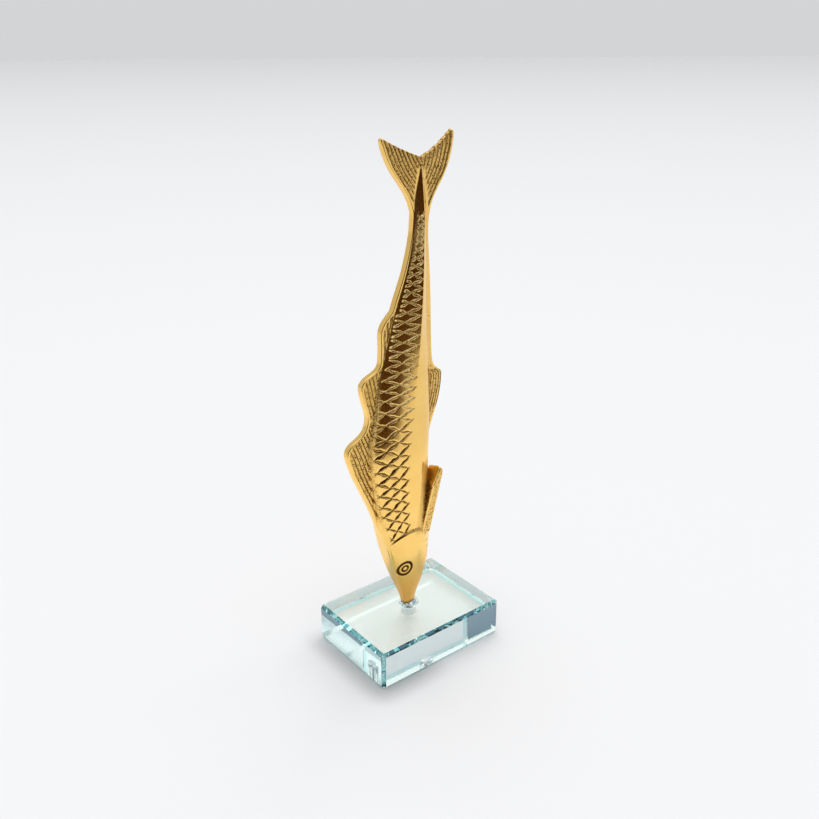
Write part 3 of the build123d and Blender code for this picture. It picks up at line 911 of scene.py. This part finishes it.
def brass_material(colours, sizes, base):
    """Polished brass with a dark patina left in the grooves, painted shade and dark reflection in its
    creases and at the nose, and painted highlights on the scale lines above the head.
    """
    made = bpy.data.materials.get("brass_finish")
    if made:
        return made
    material, tree, shader = plain_material("brass_finish")
    finish = tree.nodes.new("ShaderNodeGroup")
    finish.node_tree = hand_finish_group()
    finish.inputs["Scale"].default_value = 1.0
    waves, pits, tone = (Wire(tree, finish.outputs[name]) for name in ("Height", "Pits", "Tone"))
    x, _, z = place_wires(tree)
    names = ("dark_vs_lit_lines", "scale_mask", "scale_pitch", "ray_pitch", "ray_mask", "ray_count",
             "dotted_ground", "painted_shade_mask", "satin", "cut_rise", "cut_fall")
    dark_vs_lit, scale_mask, pitch, ray_pitch, ray_mask, ray_count, ground, corner, satin, rise, drop = (
        attribute(tree, name) for name in names
    )

    # The scale lines are dark with patina and painted shade by the head, and painted with a highlight
    # further up.
    width = dark_vs_lit * 0.28 + z.ramp(0.150, 0.195, 0.72, 0.90)
    cuts = []
    for count, other, widest in ((rise, drop, RISING_LINE * MM), (drop, rise, FALLING_LINE * MM)):
        swell = (other.from_line(1.7) + 0.2) * width
        cuts.append(count.from_line(pitch).band(swell * widest))
    faint = dark_vs_lit * -0.45 + 0.95
    lines = (cuts[0].most(cuts[1] * faint) * 1.5).least(1.0) * scale_mask
    painted_highlight = lines * (1.0 - dark_vs_lit)
    ray = ray_count.from_line(ray_pitch).band(RAY_LINE * MM) * ray_mask
    dark = (lines * dark_vs_lit).most(eye_mask(x, z, sizes, base)).most(ray * 0.8)
    worn = (pits * (ground + 0.06)).most(ground * 0.16)
    # Painted shade and dark reflection in the creases, along the gill lip, at the fins' roots and at the
    # nose, mottled by the pits.
    painted_shade_share = (pits * 1.1 + 0.45) * corner
    # Patina in the lines, rings and rays, the painted shade and the worn pits darken the gold.
    patina_and_painted_shade = (dark * (tone * 0.9 + 0.65)).most(painted_shade_share).most(worn).least(1.0)

    near_nose = z.ramp(0.030, 0.052, 1.0, 0.0)
    gold = near_nose.mix(tone.mix(colours.brass_deep, colours.brass_light), colours.brass_nose)
    # Painted highlight: the scale lines above the head are painted a pale gold.
    gold = painted_highlight.mix(gold, colours.painted_highlight_tone)
    head_blur = z.ramp(0.046, 0.058, 0.14, 0.0)
    rough = patina_and_painted_shade * 0.25 + ground * 0.16 - painted_highlight * 0.08 + head_blur + 0.18
    height = waves * (WAVE_HEIGHT * MM) - (lines * 1.6).most(dark) * (LINE_DEPTH * MM)
    height = height - pits * ground * (PIT_DEPTH * MM)
    feed(tree, shader, {
        "Base Color": patina_and_painted_shade.mix(gold, colours.patina_and_painted_shade),
        "Metallic": 1.0,
        "Roughness": rough.most(satin * 0.55),
        "Normal": wire(tree, "ShaderNodeBump", {"Strength": 1.0, "Distance": 1.0, "Height": height}),
    })
    return material


def bevel_mask(tree, base):
    """1 on the glass block's bevels, where two of the distances to its sides add up to a bevel."""
    spans = (
        (base.base_length, 0.0), (base.base_width, 0.0), (base.base_height, base.base_height / 2),
    )
    x, y, z = (size / 2 - abs(at - middle) for at, (size, middle) in zip(place_wires(tree), spans))
    return (x + y).least((x + z).least(y + z)).math("LESS_THAN", base.base_bevel + 0.02 * MM)


def clear_material(name, tint, index, rough, base=None):
    """A clear solid. The glass block, known by its sizes, has painted shade on its bevels and some colour
    within.
    """
    material, tree, shader = plain_material(name)
    end = tree.nodes["Material Output"]
    place = wire(tree, "ShaderNodeTexCoord", output="Object")
    cloud = wire(tree, "ShaderNodeTexNoise", {"Vector": place, "Scale": 40.0})
    colour = cloud.mix(tint, [min(1.0, value * 1.01) for value in tint])
    if base:
        # Painted shade: the bevels are tinted a darker teal.
        colour = bevel_mask(tree, base).mix(colour, BEVEL_SHADE_TINT)
        depth = {"Color": GLASS_DEPTH_TINT, "Density": GLASS_DENSITY}
        feed(tree, end, {"Volume": wire(tree, "ShaderNodeVolumeAbsorption", depth)})
    feed(tree, shader, {
        "Base Color": colour, "Transmission Weight": 1.0, "IOR": index, "Roughness": rough,
    })
    in_shadow = wire(tree, "ShaderNodeLightPath", output="Is Shadow Ray")
    through = wire(tree, "ShaderNodeBsdfTransparent", {0: GLASS_SHADOW_TINT})
    blend = {0: in_shadow, 1: Wire(tree, shader.outputs[0]), 2: through}
    feed(tree, end, {"Surface": wire(tree, "ShaderNodeMixShader", blend)})
    return material


def steel_material(colours):
    """Drawn steel with fine lines round the stud."""
    material, tree, shader = plain_material("steel_finish")
    place = wire(tree, "ShaderNodeTexCoord", output="Object")
    stretch = wire(tree, "ShaderNodeMapping", {"Vector": place, "Scale": (200.0, 200.0, 6000.0)})
    lines = wire(tree, "ShaderNodeTexNoise", {"Vector": stretch, "Scale": 1.0})
    feed(tree, shader, {
        "Base Color": lines.mix([value * 0.8 for value in colours.steel], colours.steel),
        "Metallic": 1.0,
        "Roughness": lines * 0.2 + 0.25,
        "Normal": wire(tree, "ShaderNodeBump", {"Height": lines, "Distance": 0.02 * MM}),
    })
    return material


# Turned and milled shapes


def lathe(profile, centre, segments=96):
    """A closed turned shape from radius and height pairs that end on the axis or close."""
    shape = bmesh.new()
    rings = []
    for radius, height in profile:
        turns = [2 * math.pi * i / segments for i in range(segments if radius else 1)]
        spots = [(centre + radius * math.cos(turn), radius * math.sin(turn), height) for turn in turns]
        rings.append([shape.verts.new(spot) for spot in spots])
    pairs = list(zip(rings, rings[1:]))
    if len(rings[0]) > 1 and len(rings[-1]) > 1:
        pairs.append((rings[-1], rings[0]))
    for low, high in pairs:
        for i in range(segments):
            j = (i + 1) % segments
            corners = (low[i % len(low)], low[j % len(low)], high[j % len(high)], high[i % len(high)])
            corners = list(dict.fromkeys(corners))
            if len(corners) > 2:
                shape.faces.new(corners)
    bmesh.ops.recalc_face_normals(shape, faces=shape.faces)
    return shape


def rounded(profile, corners, steps=5):
    """A profile with some of its corners rounded: corners maps an index to a radius."""
    points = []
    for i, point in enumerate(profile):
        if i not in corners:
            points.append(point)
            continue
        here = Vector(point)
        a = here + (Vector(profile[i - 1]) - here).normalized() * corners[i]
        b = here + (Vector(profile[(i + 1) % len(profile)]) - here).normalized() * corners[i]
        for k in range(steps + 1):
            t = k / steps
            spot = (1 - t) ** 2 * a + 2 * t * (1 - t) * here + t * t * b
            points.append((spot.x, spot.y))
    return points


def finish_shape(shape, name, material, smooth_angle=40.0):
    """A piece from a shape, smooth but for its sharp edges."""
    mesh = bpy.data.meshes.new(name)
    shape.to_mesh(mesh)
    shape.free()
    mesh.materials.append(material)
    mesh.polygons.foreach_set("use_smooth", [True] * len(mesh.polygons))
    mesh.set_sharp_from_angle(angle=math.radians(smooth_angle))
    return add_object(name, mesh)


def bend_paddles(shape, root, knee, forward, upward, reach):
    """Gives the pectoral fins a flat root below the knee and a line along their outer faces."""
    for middle, normal in ((knee, upward), (root + forward * 1.5 * MM, forward)):
        parts = shape.verts[:] + shape.edges[:] + shape.faces[:]
        bmesh.ops.bisect_plane(shape, geom=parts, plane_co=middle, plane_no=normal)
        if middle is not knee:
            continue
        for vertex in shape.verts:
            ahead = (vertex.co - root) @ forward
            if abs((vertex.co - knee) @ upward) < 0.01 * MM and ahead < reach:
                vertex.co -= forward * ahead


def paddle_shape(fish, sizes, root, forward, upward):
    """Both pectoral fins: paddles that widen upwards, and bend at a knee."""
    half = sizes.fish_thickness / 2
    tall, thick = sizes.pectoral_height, sizes.pectoral_thickness
    inner, shoulder = half * PADDLE_INNER, half * PADDLE_SHOULDER
    reach = sizes.pectoral_reach - PADDLE_SHORTER * MM
    outline = [(inner, 0.0), (shoulder, 0.0), (reach, tall), (inner, tall - PADDLE_INNER_DROP * MM)]
    outline = rounded(outline, {2: PADDLE_TIP_RADIUS * MM}, 8)
    knee = KNEE_HEIGHT * tall
    shape = bmesh.new()
    for side in (-1, 1):
        rear, front = [], []
        for across, up in outline:
            lean_back = max(0.0, up - knee) * PADDLE_REAR_LEAN
            cut_back = max(0.0, up - (tall - PADDLE_TOP_CUT * MM)) * PADDLE_TOP_LEAN
            swell = PADDLE_ROOT_SWELL - (PADDLE_ROOT_SWELL - PADDLE_TIP_SWELL) * smoothstep(knee, tall, up)
            spot = root + Vector((0, side * across, 0))
            rear.append(shape.verts.new(spot + upward * up + forward * lean_back))
            front.append(shape.verts.new(spot + upward * (up - cut_back) + forward * (thick + swell * MM)))
        shape.faces.new(rear)
        shape.faces.new(front[::-1])
        for i in range(len(rear)):
            j = (i + 1) % len(rear)
            shape.faces.new((rear[i], front[i], front[j], rear[j]))
    bend_paddles(shape, root, root + upward * knee, forward, upward, thick * 0.9)
    bmesh.ops.recalc_face_normals(shape, faces=shape.faces)
    edges = [edge for edge in shape.edges if edge.calc_face_angle(0) > math.radians(50)]
    rounding = PADDLE_EDGE_RADIUS * MM
    bmesh.ops.bevel(shape, geom=edges, offset=rounding, segments=5, profile=0.5, affect="EDGES")
    return shape


# Settings


def length(name, description, millimetres):
    """A length, with its default in millimetres."""
    return FloatProperty(
        name=name, description=description, default=millimetres * MM, min=0.0, precision=5,
        unit="LENGTH", subtype="DISTANCE",
    )


def strength(name, description, default):
    """How strong a light is."""
    return FloatProperty(name=name, description=description, default=default, min=0.0)


def angle(name, description, degrees):
    """An angle, with its default in degrees."""
    return FloatProperty(
        name=name, description=description, default=math.radians(degrees), subtype="ANGLE"
    )


def colour(name, description, default):
    """A plain colour."""
    return FloatVectorProperty(
        name=name, description=description, default=default, min=0.0, max=1.0, size=3, subtype="COLOR"
    )


class CastingSizes(PropertyGroup):
    """Sizes of the brass casting."""

    fish_length: length("Fish Length", "From the nose to the tail's longer tip", 231.9)
    fish_depth: length("Fish Depth", "Unit of the side view, from back to belly", 36.0)
    fish_thickness: length("Fish Thickness", "Widest place across the flanks", 17.0)
    fin_thickness: length("Fin Thickness", "Thickness of the fins and the tail", 3.3)
    edge_radius: length("Edge Radius", "Rounding of the polished edges", 0.5)
    lobe_tip_radius: length("Tail Tip Radius", "Rounding of the tail's tips", 0.9)
    gill_step: length("Gill Step", "How far the cheek stands proud", 0.7)
    eye_diameter: length("Eye Diameter", "Outer ring of the eye", 8.3)
    iris_diameter: length("Iris Diameter", "Inner ring of the eye", 4.0)
    eye_depth: length("Eye Ring Depth", "Depth of the eye's rings", 0.14)
    pectoral_reach: length("Pectoral Reach", "From the middle plane to the fin's outer face", 12.6)
    pectoral_height: length("Pectoral Height", "Length of the pectoral fins", 37.4)
    pectoral_thickness: length("Pectoral Width", "Width of the pectoral fin's outer face", 4.4)
    rising_depth: length("Rising Groove Depth", "Depth of the scale grooves that climb to the keel", 0.62)
    falling_depth: length("Falling Groove Depth", "Depth of the other scale grooves", 0.42)
    groove_width: length("Scale Groove Width", "Width of the scale grooves", 1.9)
    ray_depth: length("Ray Depth", "Depth of the grooves between the fin rays", 0.38)
    ray_width: length("Ray Groove Width", "Width of the grooves between the fin rays", 1.3)
    ray_spacing: length("Ray Spacing", "From one fin ray to the next", 2.0)
    tail_thinning: length("Tail Thinning", "How much thinner each side is at the rear edge", 0.6)
    unevenness: FloatProperty(
        name="Unevenness", description="How far the hand-cut grooves stray, in pitches",
        default=0.5, min=0.0, max=1.0, subtype="FACTOR",
    )
    seed: IntProperty(name="Seed", description="Start of the unevenness", default=7, min=0)


class BaseSizes(PropertyGroup):
    """Sizes of the glass block, the clear bushing and the stud."""

    base_length: length("Block Length", "Along X", 75.0)
    base_width: length("Block Width", "Along Y", 55.0)
    base_height: length("Block Height", "Thickness of the glass", 20.0)
    base_bevel: length("Block Bevel", "Leg of the block's bevels", 1.6)
    hole_diameter: length("Hole Diameter", "Blind hole for the bushing", 8.3)
    hole_depth: length("Hole Depth", "Depth of the blind hole", 13.3)
    hole_bottom_radius: length("Hole Bottom Radius", "Rounding of the hole's bottom", 2.2)
    flange_diameter: length("Flange Diameter", "Flange of the bushing", 10.3)
    flange_thickness: length("Flange Thickness", "Thickness of the flange", 1.1)
    sleeve_diameter: length("Sleeve Diameter", "Sleeve of the bushing", 8.1)
    sleeve_length: length("Sleeve Length", "Length of the sleeve in the glass", 10.8)
    bushing_bore: length("Bushing Bore", "Bore round the stud", 3.5)
    axis_offset: FloatProperty(
        name="Mount Axis Offset", description="Where the stud stands along X", default=-0.5 * MM,
        unit="LENGTH", subtype="DISTANCE", precision=5,
    )


class FinishColours(PropertyGroup):
    """Colours of the finishes."""

    brass_light: colour("Brass Light", "Lighter tone of the polished brass", (0.98, 0.66, 0.21))
    brass_deep: colour("Brass Deep", "Deeper tone of the polished brass", (0.84, 0.52, 0.14))
    brass_nose: colour("Brass at the Nose", "Tone of the brass close to the glass", (1.0, 0.50, 0.12))
    # Painted highlight colour of the scale lines above the head.
    painted_highlight_tone: colour("Bright Lines", "Tone of the scale lines above the head", (1.0, 0.88, 0.54))
    # Also the colour of the painted shade and dark reflection in the creases, by the gill and at the nose.
    patina_and_painted_shade: colour("Patina", "Dark finish left in the grooves", (0.100, 0.040, 0.004))
    glass: colour("Glass", "Tint of the glass", (0.97, 1.0, 1.0))
    plastic: colour("Clear Plastic", "Tint of the bushing", (0.96, 0.98, 0.98))
    steel: colour("Steel", "Colour of the stud", (0.50, 0.50, 0.50))
    floor: colour("Floor", "Colour of the floor", (0.86, 0.86, 0.87))
    room: colour("Room", "Dark room beyond the two sides of the stage", (0.22, 0.33, 0.42))
    shade: colour("Front Shade", "What polished faces mirror in front of the fish", (0.065, 0.026, 0.004))


class StageSettings(PropertyGroup):
    """Camera and light."""

    camera_place: FloatVectorProperty(
        name="Camera Place", description="Where the camera stands", size=3, subtype="TRANSLATION",
        unit="LENGTH", default=(-0.23805, -0.30412, 0.28435),
    )
    camera_lens: FloatProperty(
        name="Camera Lens", description="Focal length", default=38.843, min=1.0, unit="CAMERA"
    )
    camera_turn: angle("Camera Turn", "Turn to the right of +Y", 38.15)
    camera_tilt: angle("Camera Tilt", "Tilt downwards", 22.12)
    camera_roll: angle("Camera Roll", "Roll about the view", -0.34)
    key_power: strength("Key Light", "Strength of the soft light above", 0.35)
    side_power: strength("Side Light", "Strength of the soft light on the right", 0.55)
    ceiling: strength("Ceiling", "How much brighter the surround is overhead", 1.9)
    surround: strength("Surround", "Strength of the pale surround", 0.70)


def settings(context):
    """The four groups of settings."""
    return [getattr(context.scene, name) for name in GROUPS]


# Operators


class FIGURINE_OT_fish(Operator):
    """Cast the fish: body, fins and tail in one piece, with carved scales and rays"""

    bl_idname = "figurine.fish"
    bl_label = "Fish Casting"

    def execute(self, context):
        sizes, base, colours, _ = settings(context)
        piece = add_object("fish_body", casting_mesh(Fish(sizes, base), sizes))
        values = {
            label: getattr(sizes, label.lower().replace(" ", "_")) for label in (*CARVING_SIZES, "Seed")
        }
        run_tree(piece, carving_tree(), {**values, "Brass": brass_material(colours, sizes, base)})
        declare(piece, "fish_casting")
        return {"FINISHED"}


class FIGURINE_OT_pectoral_fins(Operator):
    """Add the pair of paddle-like fins on the flanks"""

    bl_idname = "figurine.pectoral_fins"
    bl_label = "Pectoral Fins"

    def execute(self, context):
        sizes, base, colours, _ = settings(context)
        fish = Fish(sizes, base)
        (x, z), = fish.side([PADDLE_ROOT])
        root = Vector((x + PADDLE_SHIFT * MM, 0, z))
        upward = Vector((math.sin(PADDLE_LEAN), 0, math.cos(PADDLE_LEAN)))
        forward = Vector((math.cos(PADDLE_LEAN), 0, -math.sin(PADDLE_LEAN)))
        shape = paddle_shape(fish, sizes, root, forward, upward)
        piece = finish_shape(shape, "pectoral_fins", brass_material(colours, sizes, base))
        dark, dotted = (
            piece.data.attributes.new(name, "FLOAT", "FACE") for name in ("painted_shade_mask", "dotted_ground")
        )
        for face in piece.data.polygons:
            spot = face.center - root
            # Painted shade and dark reflection on the lower rear faces; a stippled finish on the outer
            # faces.
            rear = face.normal.x < -0.75 and spot @ upward < 0.66 * sizes.pectoral_height
            outer = abs(face.normal.y) > 0.75 and spot @ forward > 1.2 * MM
            dark.data[face.index].value = 0.9 if rear else 0.0
            dotted.data[face.index].value = 1.0 if outer else 0.0
        declare(piece, "fish_casting")
        return {"FINISHED"}


class FIGURINE_OT_glass_block(Operator):
    """Cut the glass block with its bevels and its blind hole"""

    bl_idname = "figurine.glass_block"
    bl_label = "Glass Block"

    def execute(self, context):
        _, base, colours, _ = settings(context)
        glass = clear_material("glass_finish", colours.glass, GLASS_INDEX, 0.0, base)
        top, radius = base.base_height, base.hole_diameter / 2
        shape = bmesh.new()
        bmesh.ops.create_cube(shape, size=1.0)
        bmesh.ops.scale(shape, verts=shape.verts, vec=(base.base_length, base.base_width, top))
        bmesh.ops.translate(shape, verts=shape.verts, vec=(0, 0, top / 2))
        bmesh.ops.bevel(shape, geom=shape.edges[:], offset=base.base_bevel, segments=1, affect="EDGES")
        block = finish_shape(shape, "glass_block", glass, 20.0)
        high, low = top + 2 * MM, top - base.hole_depth
        profile = [(0, high), (radius, high), (radius, low), (0, low)]
        profile = rounded(profile, {2: base.hole_bottom_radius}, 10)
        cutter = finish_shape(lathe(profile, base.axis_offset, 128), "hole_cutter", glass)
        modifier = block.modifiers.new("hole", "BOOLEAN")
        modifier.operation = "DIFFERENCE"
        modifier.solver = "EXACT"
        modifier.object = cutter
        plain_mesh(block)
        block.data.set_sharp_from_angle(angle=math.radians(20))
        bpy.data.objects.remove(cutter)
        if len(block.data.polygons) < 100:
            raise RuntimeError("the hole was not cut into the glass block")
        declare(block, "glass_base")
        return {"FINISHED"}


class FIGURINE_OT_clear_bushing(Operator):
    """Turn the clear flanged bushing under the nose"""

    bl_idname = "figurine.clear_bushing"
    bl_label = "Clear Bushing"

    def execute(self, context):
        _, base, colours, _ = settings(context)
        gap = 0.02 * MM
        bore, sleeve, flange = base.bushing_bore / 2, base.sleeve_diameter / 2, base.flange_diameter / 2
        low, seat = base.base_height - base.sleeve_length, base.base_height + gap
        high = base.base_height + base.flange_thickness - gap
        profile = [(bore, low), (sleeve, low), (sleeve, seat), (flange, seat), (flange, high), (bore, high)]
        profile = rounded(profile, {1: 0.4 * MM, 3: 0.15 * MM, 4: 0.3 * MM})
        plastic = clear_material("bushing_finish", colours.plastic, PLASTIC_INDEX, PLASTIC_ROUGHNESS)
        piece = finish_shape(lathe(profile, base.axis_offset), "clear_sleeve", plastic)
        declare(piece, "clear_bushing")
        return {"FINISHED"}


class FIGURINE_OT_steel_stud(Operator):
    """Turn the steel stud that holds the fish"""

    bl_idname = "figurine.steel_stud"
    bl_label = "Steel Stud"

    def execute(self, context):
        _, base, colours, _ = settings(context)
        low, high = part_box("mounting_stud")
        radius = (high[0] - low[0]) / 2
        profile = [(0, low[2]), (radius, low[2]), (radius, high[2]), (0, high[2])]
        profile = rounded(profile, {1: 0.3 * MM, 2: 0.3 * MM})
        piece = finish_shape(lathe(profile, base.axis_offset, 48), "stud", steel_material(colours))
        declare(piece, "mounting_stud")
        return {"FINISHED"}


class FIGURINE_OT_studio(Operator):
    """Set the pale floor, the soft light and the camera"""

    bl_idname = "figurine.studio"
    bl_label = "Studio"

    def execute(self, context):
        _, base, colours, stage = settings(context)
        scene = context.scene
        shape = bmesh.new()
        bmesh.ops.create_circle(shape, cap_ends=True, radius=FLOOR_RADIUS, segments=128)
        bmesh.ops.translate(shape, verts=shape.verts, vec=(0, 0, -0.05 * MM))
        finish_shape(shape, "floor", floor_material(colours, base))
        studio_world(scene, stage, colours)
        for name, (toward, spread), power in (
            ("key_light", KEY_LIGHT, stage.key_power),
            ("side_light", SIDE_LIGHT, stage.side_power),
        ):
            light = bpy.data.lights.new(name, "SUN")
            light.angle = math.radians(spread)
            light.energy = power
            lamp = add_object(name, light)
            lamp.location = Vector(toward) * 2
            lamp.rotation_euler = (-Vector(toward)).to_track_quat("-Z", "Y").to_euler()
        camera = bpy.data.cameras.new("photo_camera")
        camera.sensor_width = FILM_WIDTH
        camera.lens = stage.camera_lens
        camera.clip_start = NEAREST_VIEW
        viewer = add_object("photo_camera", camera)
        turn = Matrix.Rotation(-stage.camera_turn, 4, "Z")
        tilt = Matrix.Rotation(math.pi / 2 - stage.camera_tilt, 4, "X")
        roll = Matrix.Rotation(stage.camera_roll, 4, "Z")
        viewer.matrix_world = Matrix.Translation(stage.camera_place) @ turn @ tilt @ roll
        scene.camera = viewer
        scene.view_settings.view_transform = "Standard"
        for kind in ("max", "transmission", "glossy"):
            setattr(scene.cycles, kind + "_bounces", LIGHT_BOUNCES)
        return {"FINISHED"}


def facing(x, y, toward):
    """How squarely a place or direction lies toward a compass direction, 1 at most."""
    return (x * toward[0] + y * toward[1]) / distance(x, y).most(0.0001)


def seen_straight(tree, kind):
    """1 for what the camera sees by way of polished faces, or through glass."""
    ray = tree.nodes.new("ShaderNodeLightPath")
    straight = Wire(tree, ray.outputs["Diffuse Depth"]).math("LESS_THAN", 0.5)
    return straight * Wire(tree, ray.outputs[kind])


def floor_material(colours, base):
    """A plain pale floor with painted shade that darkens it with distance, a painted contact shadow,
    painted light and shade where the glass shows it, a painted dark front that only polished faces mirror,
    and a painted glow.
    """
    material, tree, shader = plain_material("pale_floor")
    x, y, _ = place_wires(tree)
    away = distance(x, y)
    outside = [(abs(at) - size / 2).most(0.0) for at, size in ((x, base.base_length), (y, base.base_width))]
    gap = distance(*outside)
    far = (away * FLOOR_FADE).math("POWER", 1.3)
    glossy, glassy = seen_straight(tree, "Is Glossy Ray"), seen_straight(tree, "Is Transmission Ray")
    turned = wire(tree, "ShaderNodeLightPath", output="Ray Depth").math("GREATER_THAN", 2.5) * glassy
    under = away.ramp(0.045, 0.060, 1.0, 0.0)
    beside = facing(x, y, SIDE_OF_ROOM).ramp(0.55, 0.75) * away.ramp(0.045, 0.060)
    contact = gap.ramp(0.0, 0.013, 0.30, 0.0) * facing(x, y, SIDE_OF_CONTACT).ramp(0.30, 0.85)
    rim = gap.ramp(0.001, 0.007, 0.8, 0.0) * gap.math("GREATER_THAN", 0.0001)
    front = facing(x, y, SIDE_OF_SHADE).ramp(0.80, 0.95) * away.ramp(0.24, 0.40)
    # Painted shade: the floor darkens with distance.
    tone = (far / (far + 1.0)).mix(colours.floor, [value * 0.70 for value in colours.floor])
    # Painted light and shade: the contact shadow, the floor painted lighter and darker where the glass
    # shows it, a dark reflection of the room beside the block, a shadow by the block's edge, and a dark
    # front that only polished faces mirror.
    for share, here in (
        (contact, CONTACT_TONE),
        (glassy, GLASSY_TONE),
        (turned, TURNED_TONE),
        (beside * glassy, BESIDE_TONE),
        (rim * glassy, RIM_TONE),
        (front * glossy, colours.shade),
    ):
        tone = share.mix(tone, here)
    # Painted glow: the floor shines where brass mirrors it close by and where the glass shows it under the
    # block.
    painted_glow = (away.ramp(0.20, 0.30, 1.0, 0.0) * glossy).mix((0.0, 0.0, 0.0), MIRRORED_LIFT)
    painted_glow = (under * glassy - turned).mix(painted_glow, UNDER_LIFT)
    feed(tree, shader, {
        "Base Color": tone, "Roughness": 0.9, "Specular IOR Level": 0.0,
        "Emission Color": painted_glow, "Emission Strength": 1.0,
    })
    return material


def studio_world(scene, stage, colours):
    """A pale surround: white behind and above, darker low at the two sides and in front."""
    world = bpy.data.worlds.new("studio")
    scene.world = world
    world.use_nodes = True
    tree = world.node_tree
    x, y, height = place_wires(tree, "Generated")
    tone = height.ramp(0.0, 0.25).mix([value * 0.95 for value in WHITE], WHITE)
    overhead = facing(x, y, (0.55, 0.83)) * 0.06 + height
    tone = overhead.ramp(0.76, 0.93).mix(tone, [value * stage.ceiling for value in WHITE])
    low = height.ramp(0.62, 0.76, 1.0, 0.0)
    for toward, narrow, wide, kind, here in (
        (SIDE_BEHIND, 0.86, 0.95, "Is Transmission Ray", colours.room),
        (SIDE_OF_ROOM, 0.80, 0.92, "Is Transmission Ray", colours.room),
        (SIDE_OF_SHADE, 0.80, 0.95, "Is Glossy Ray", colours.shade),
    ):
        share = facing(x, y, toward).ramp(narrow, wide) * low * seen_straight(tree, kind)
        tone = share.mix(tone, here)
    feed(tree, tree.nodes["Background"], {0: tone, 1: stage.surround})


class FIGURINE_PT_panel(Panel):
    """Lists the pieces of the figurine and their settings."""

    bl_label = "Fish Figurine"
    bl_idname = "FIGURINE_PT_panel"
    bl_space_type = "VIEW_3D"
    bl_region_type = "UI"
    bl_category = "Fish Figurine"

    def draw(self, context):
        for operator in OPERATORS:
            self.layout.operator(operator.bl_idname)
        for group in settings(context):
            box = self.layout.box()
            for name in group.bl_rna.properties.keys():
                if name not in ("rna_type", "name"):
                    box.prop(group, name)


OPERATORS = (
    FIGURINE_OT_fish,
    FIGURINE_OT_pectoral_fins,
    FIGURINE_OT_glass_block,
    FIGURINE_OT_clear_bushing,
    FIGURINE_OT_steel_stud,
    FIGURINE_OT_studio,
)
GROUPS = {
    "figurine_casting": CastingSizes,
    "figurine_base": BaseSizes,
    "figurine_colours": FinishColours,
    "figurine_stage": StageSettings,
}
CLASSES = (*GROUPS.values(), *OPERATORS, FIGURINE_PT_panel)


def register():
    """Registers the classes and hangs the settings on the scene."""
    for item in CLASSES:
        bpy.utils.register_class(item)
    for name, group in GROUPS.items():
        setattr(bpy.types.Scene, name, PointerProperty(type=group))


def unregister():
    """Removes the settings and the classes."""
    for name in GROUPS:
        delattr(bpy.types.Scene, name)
    for item in reversed(CLASSES):
        bpy.utils.unregister_class(item)


def main():
    """Builds the figurine on its stage."""
    register()
    bpy.ops.figurine.fish()
    bpy.ops.figurine.pectoral_fins()
    bpy.ops.figurine.glass_block()
    bpy.ops.figurine.clear_bushing()
    bpy.ops.figurine.steel_stud()
    bpy.ops.figurine.studio()


if __name__ == "__main__":
    main()
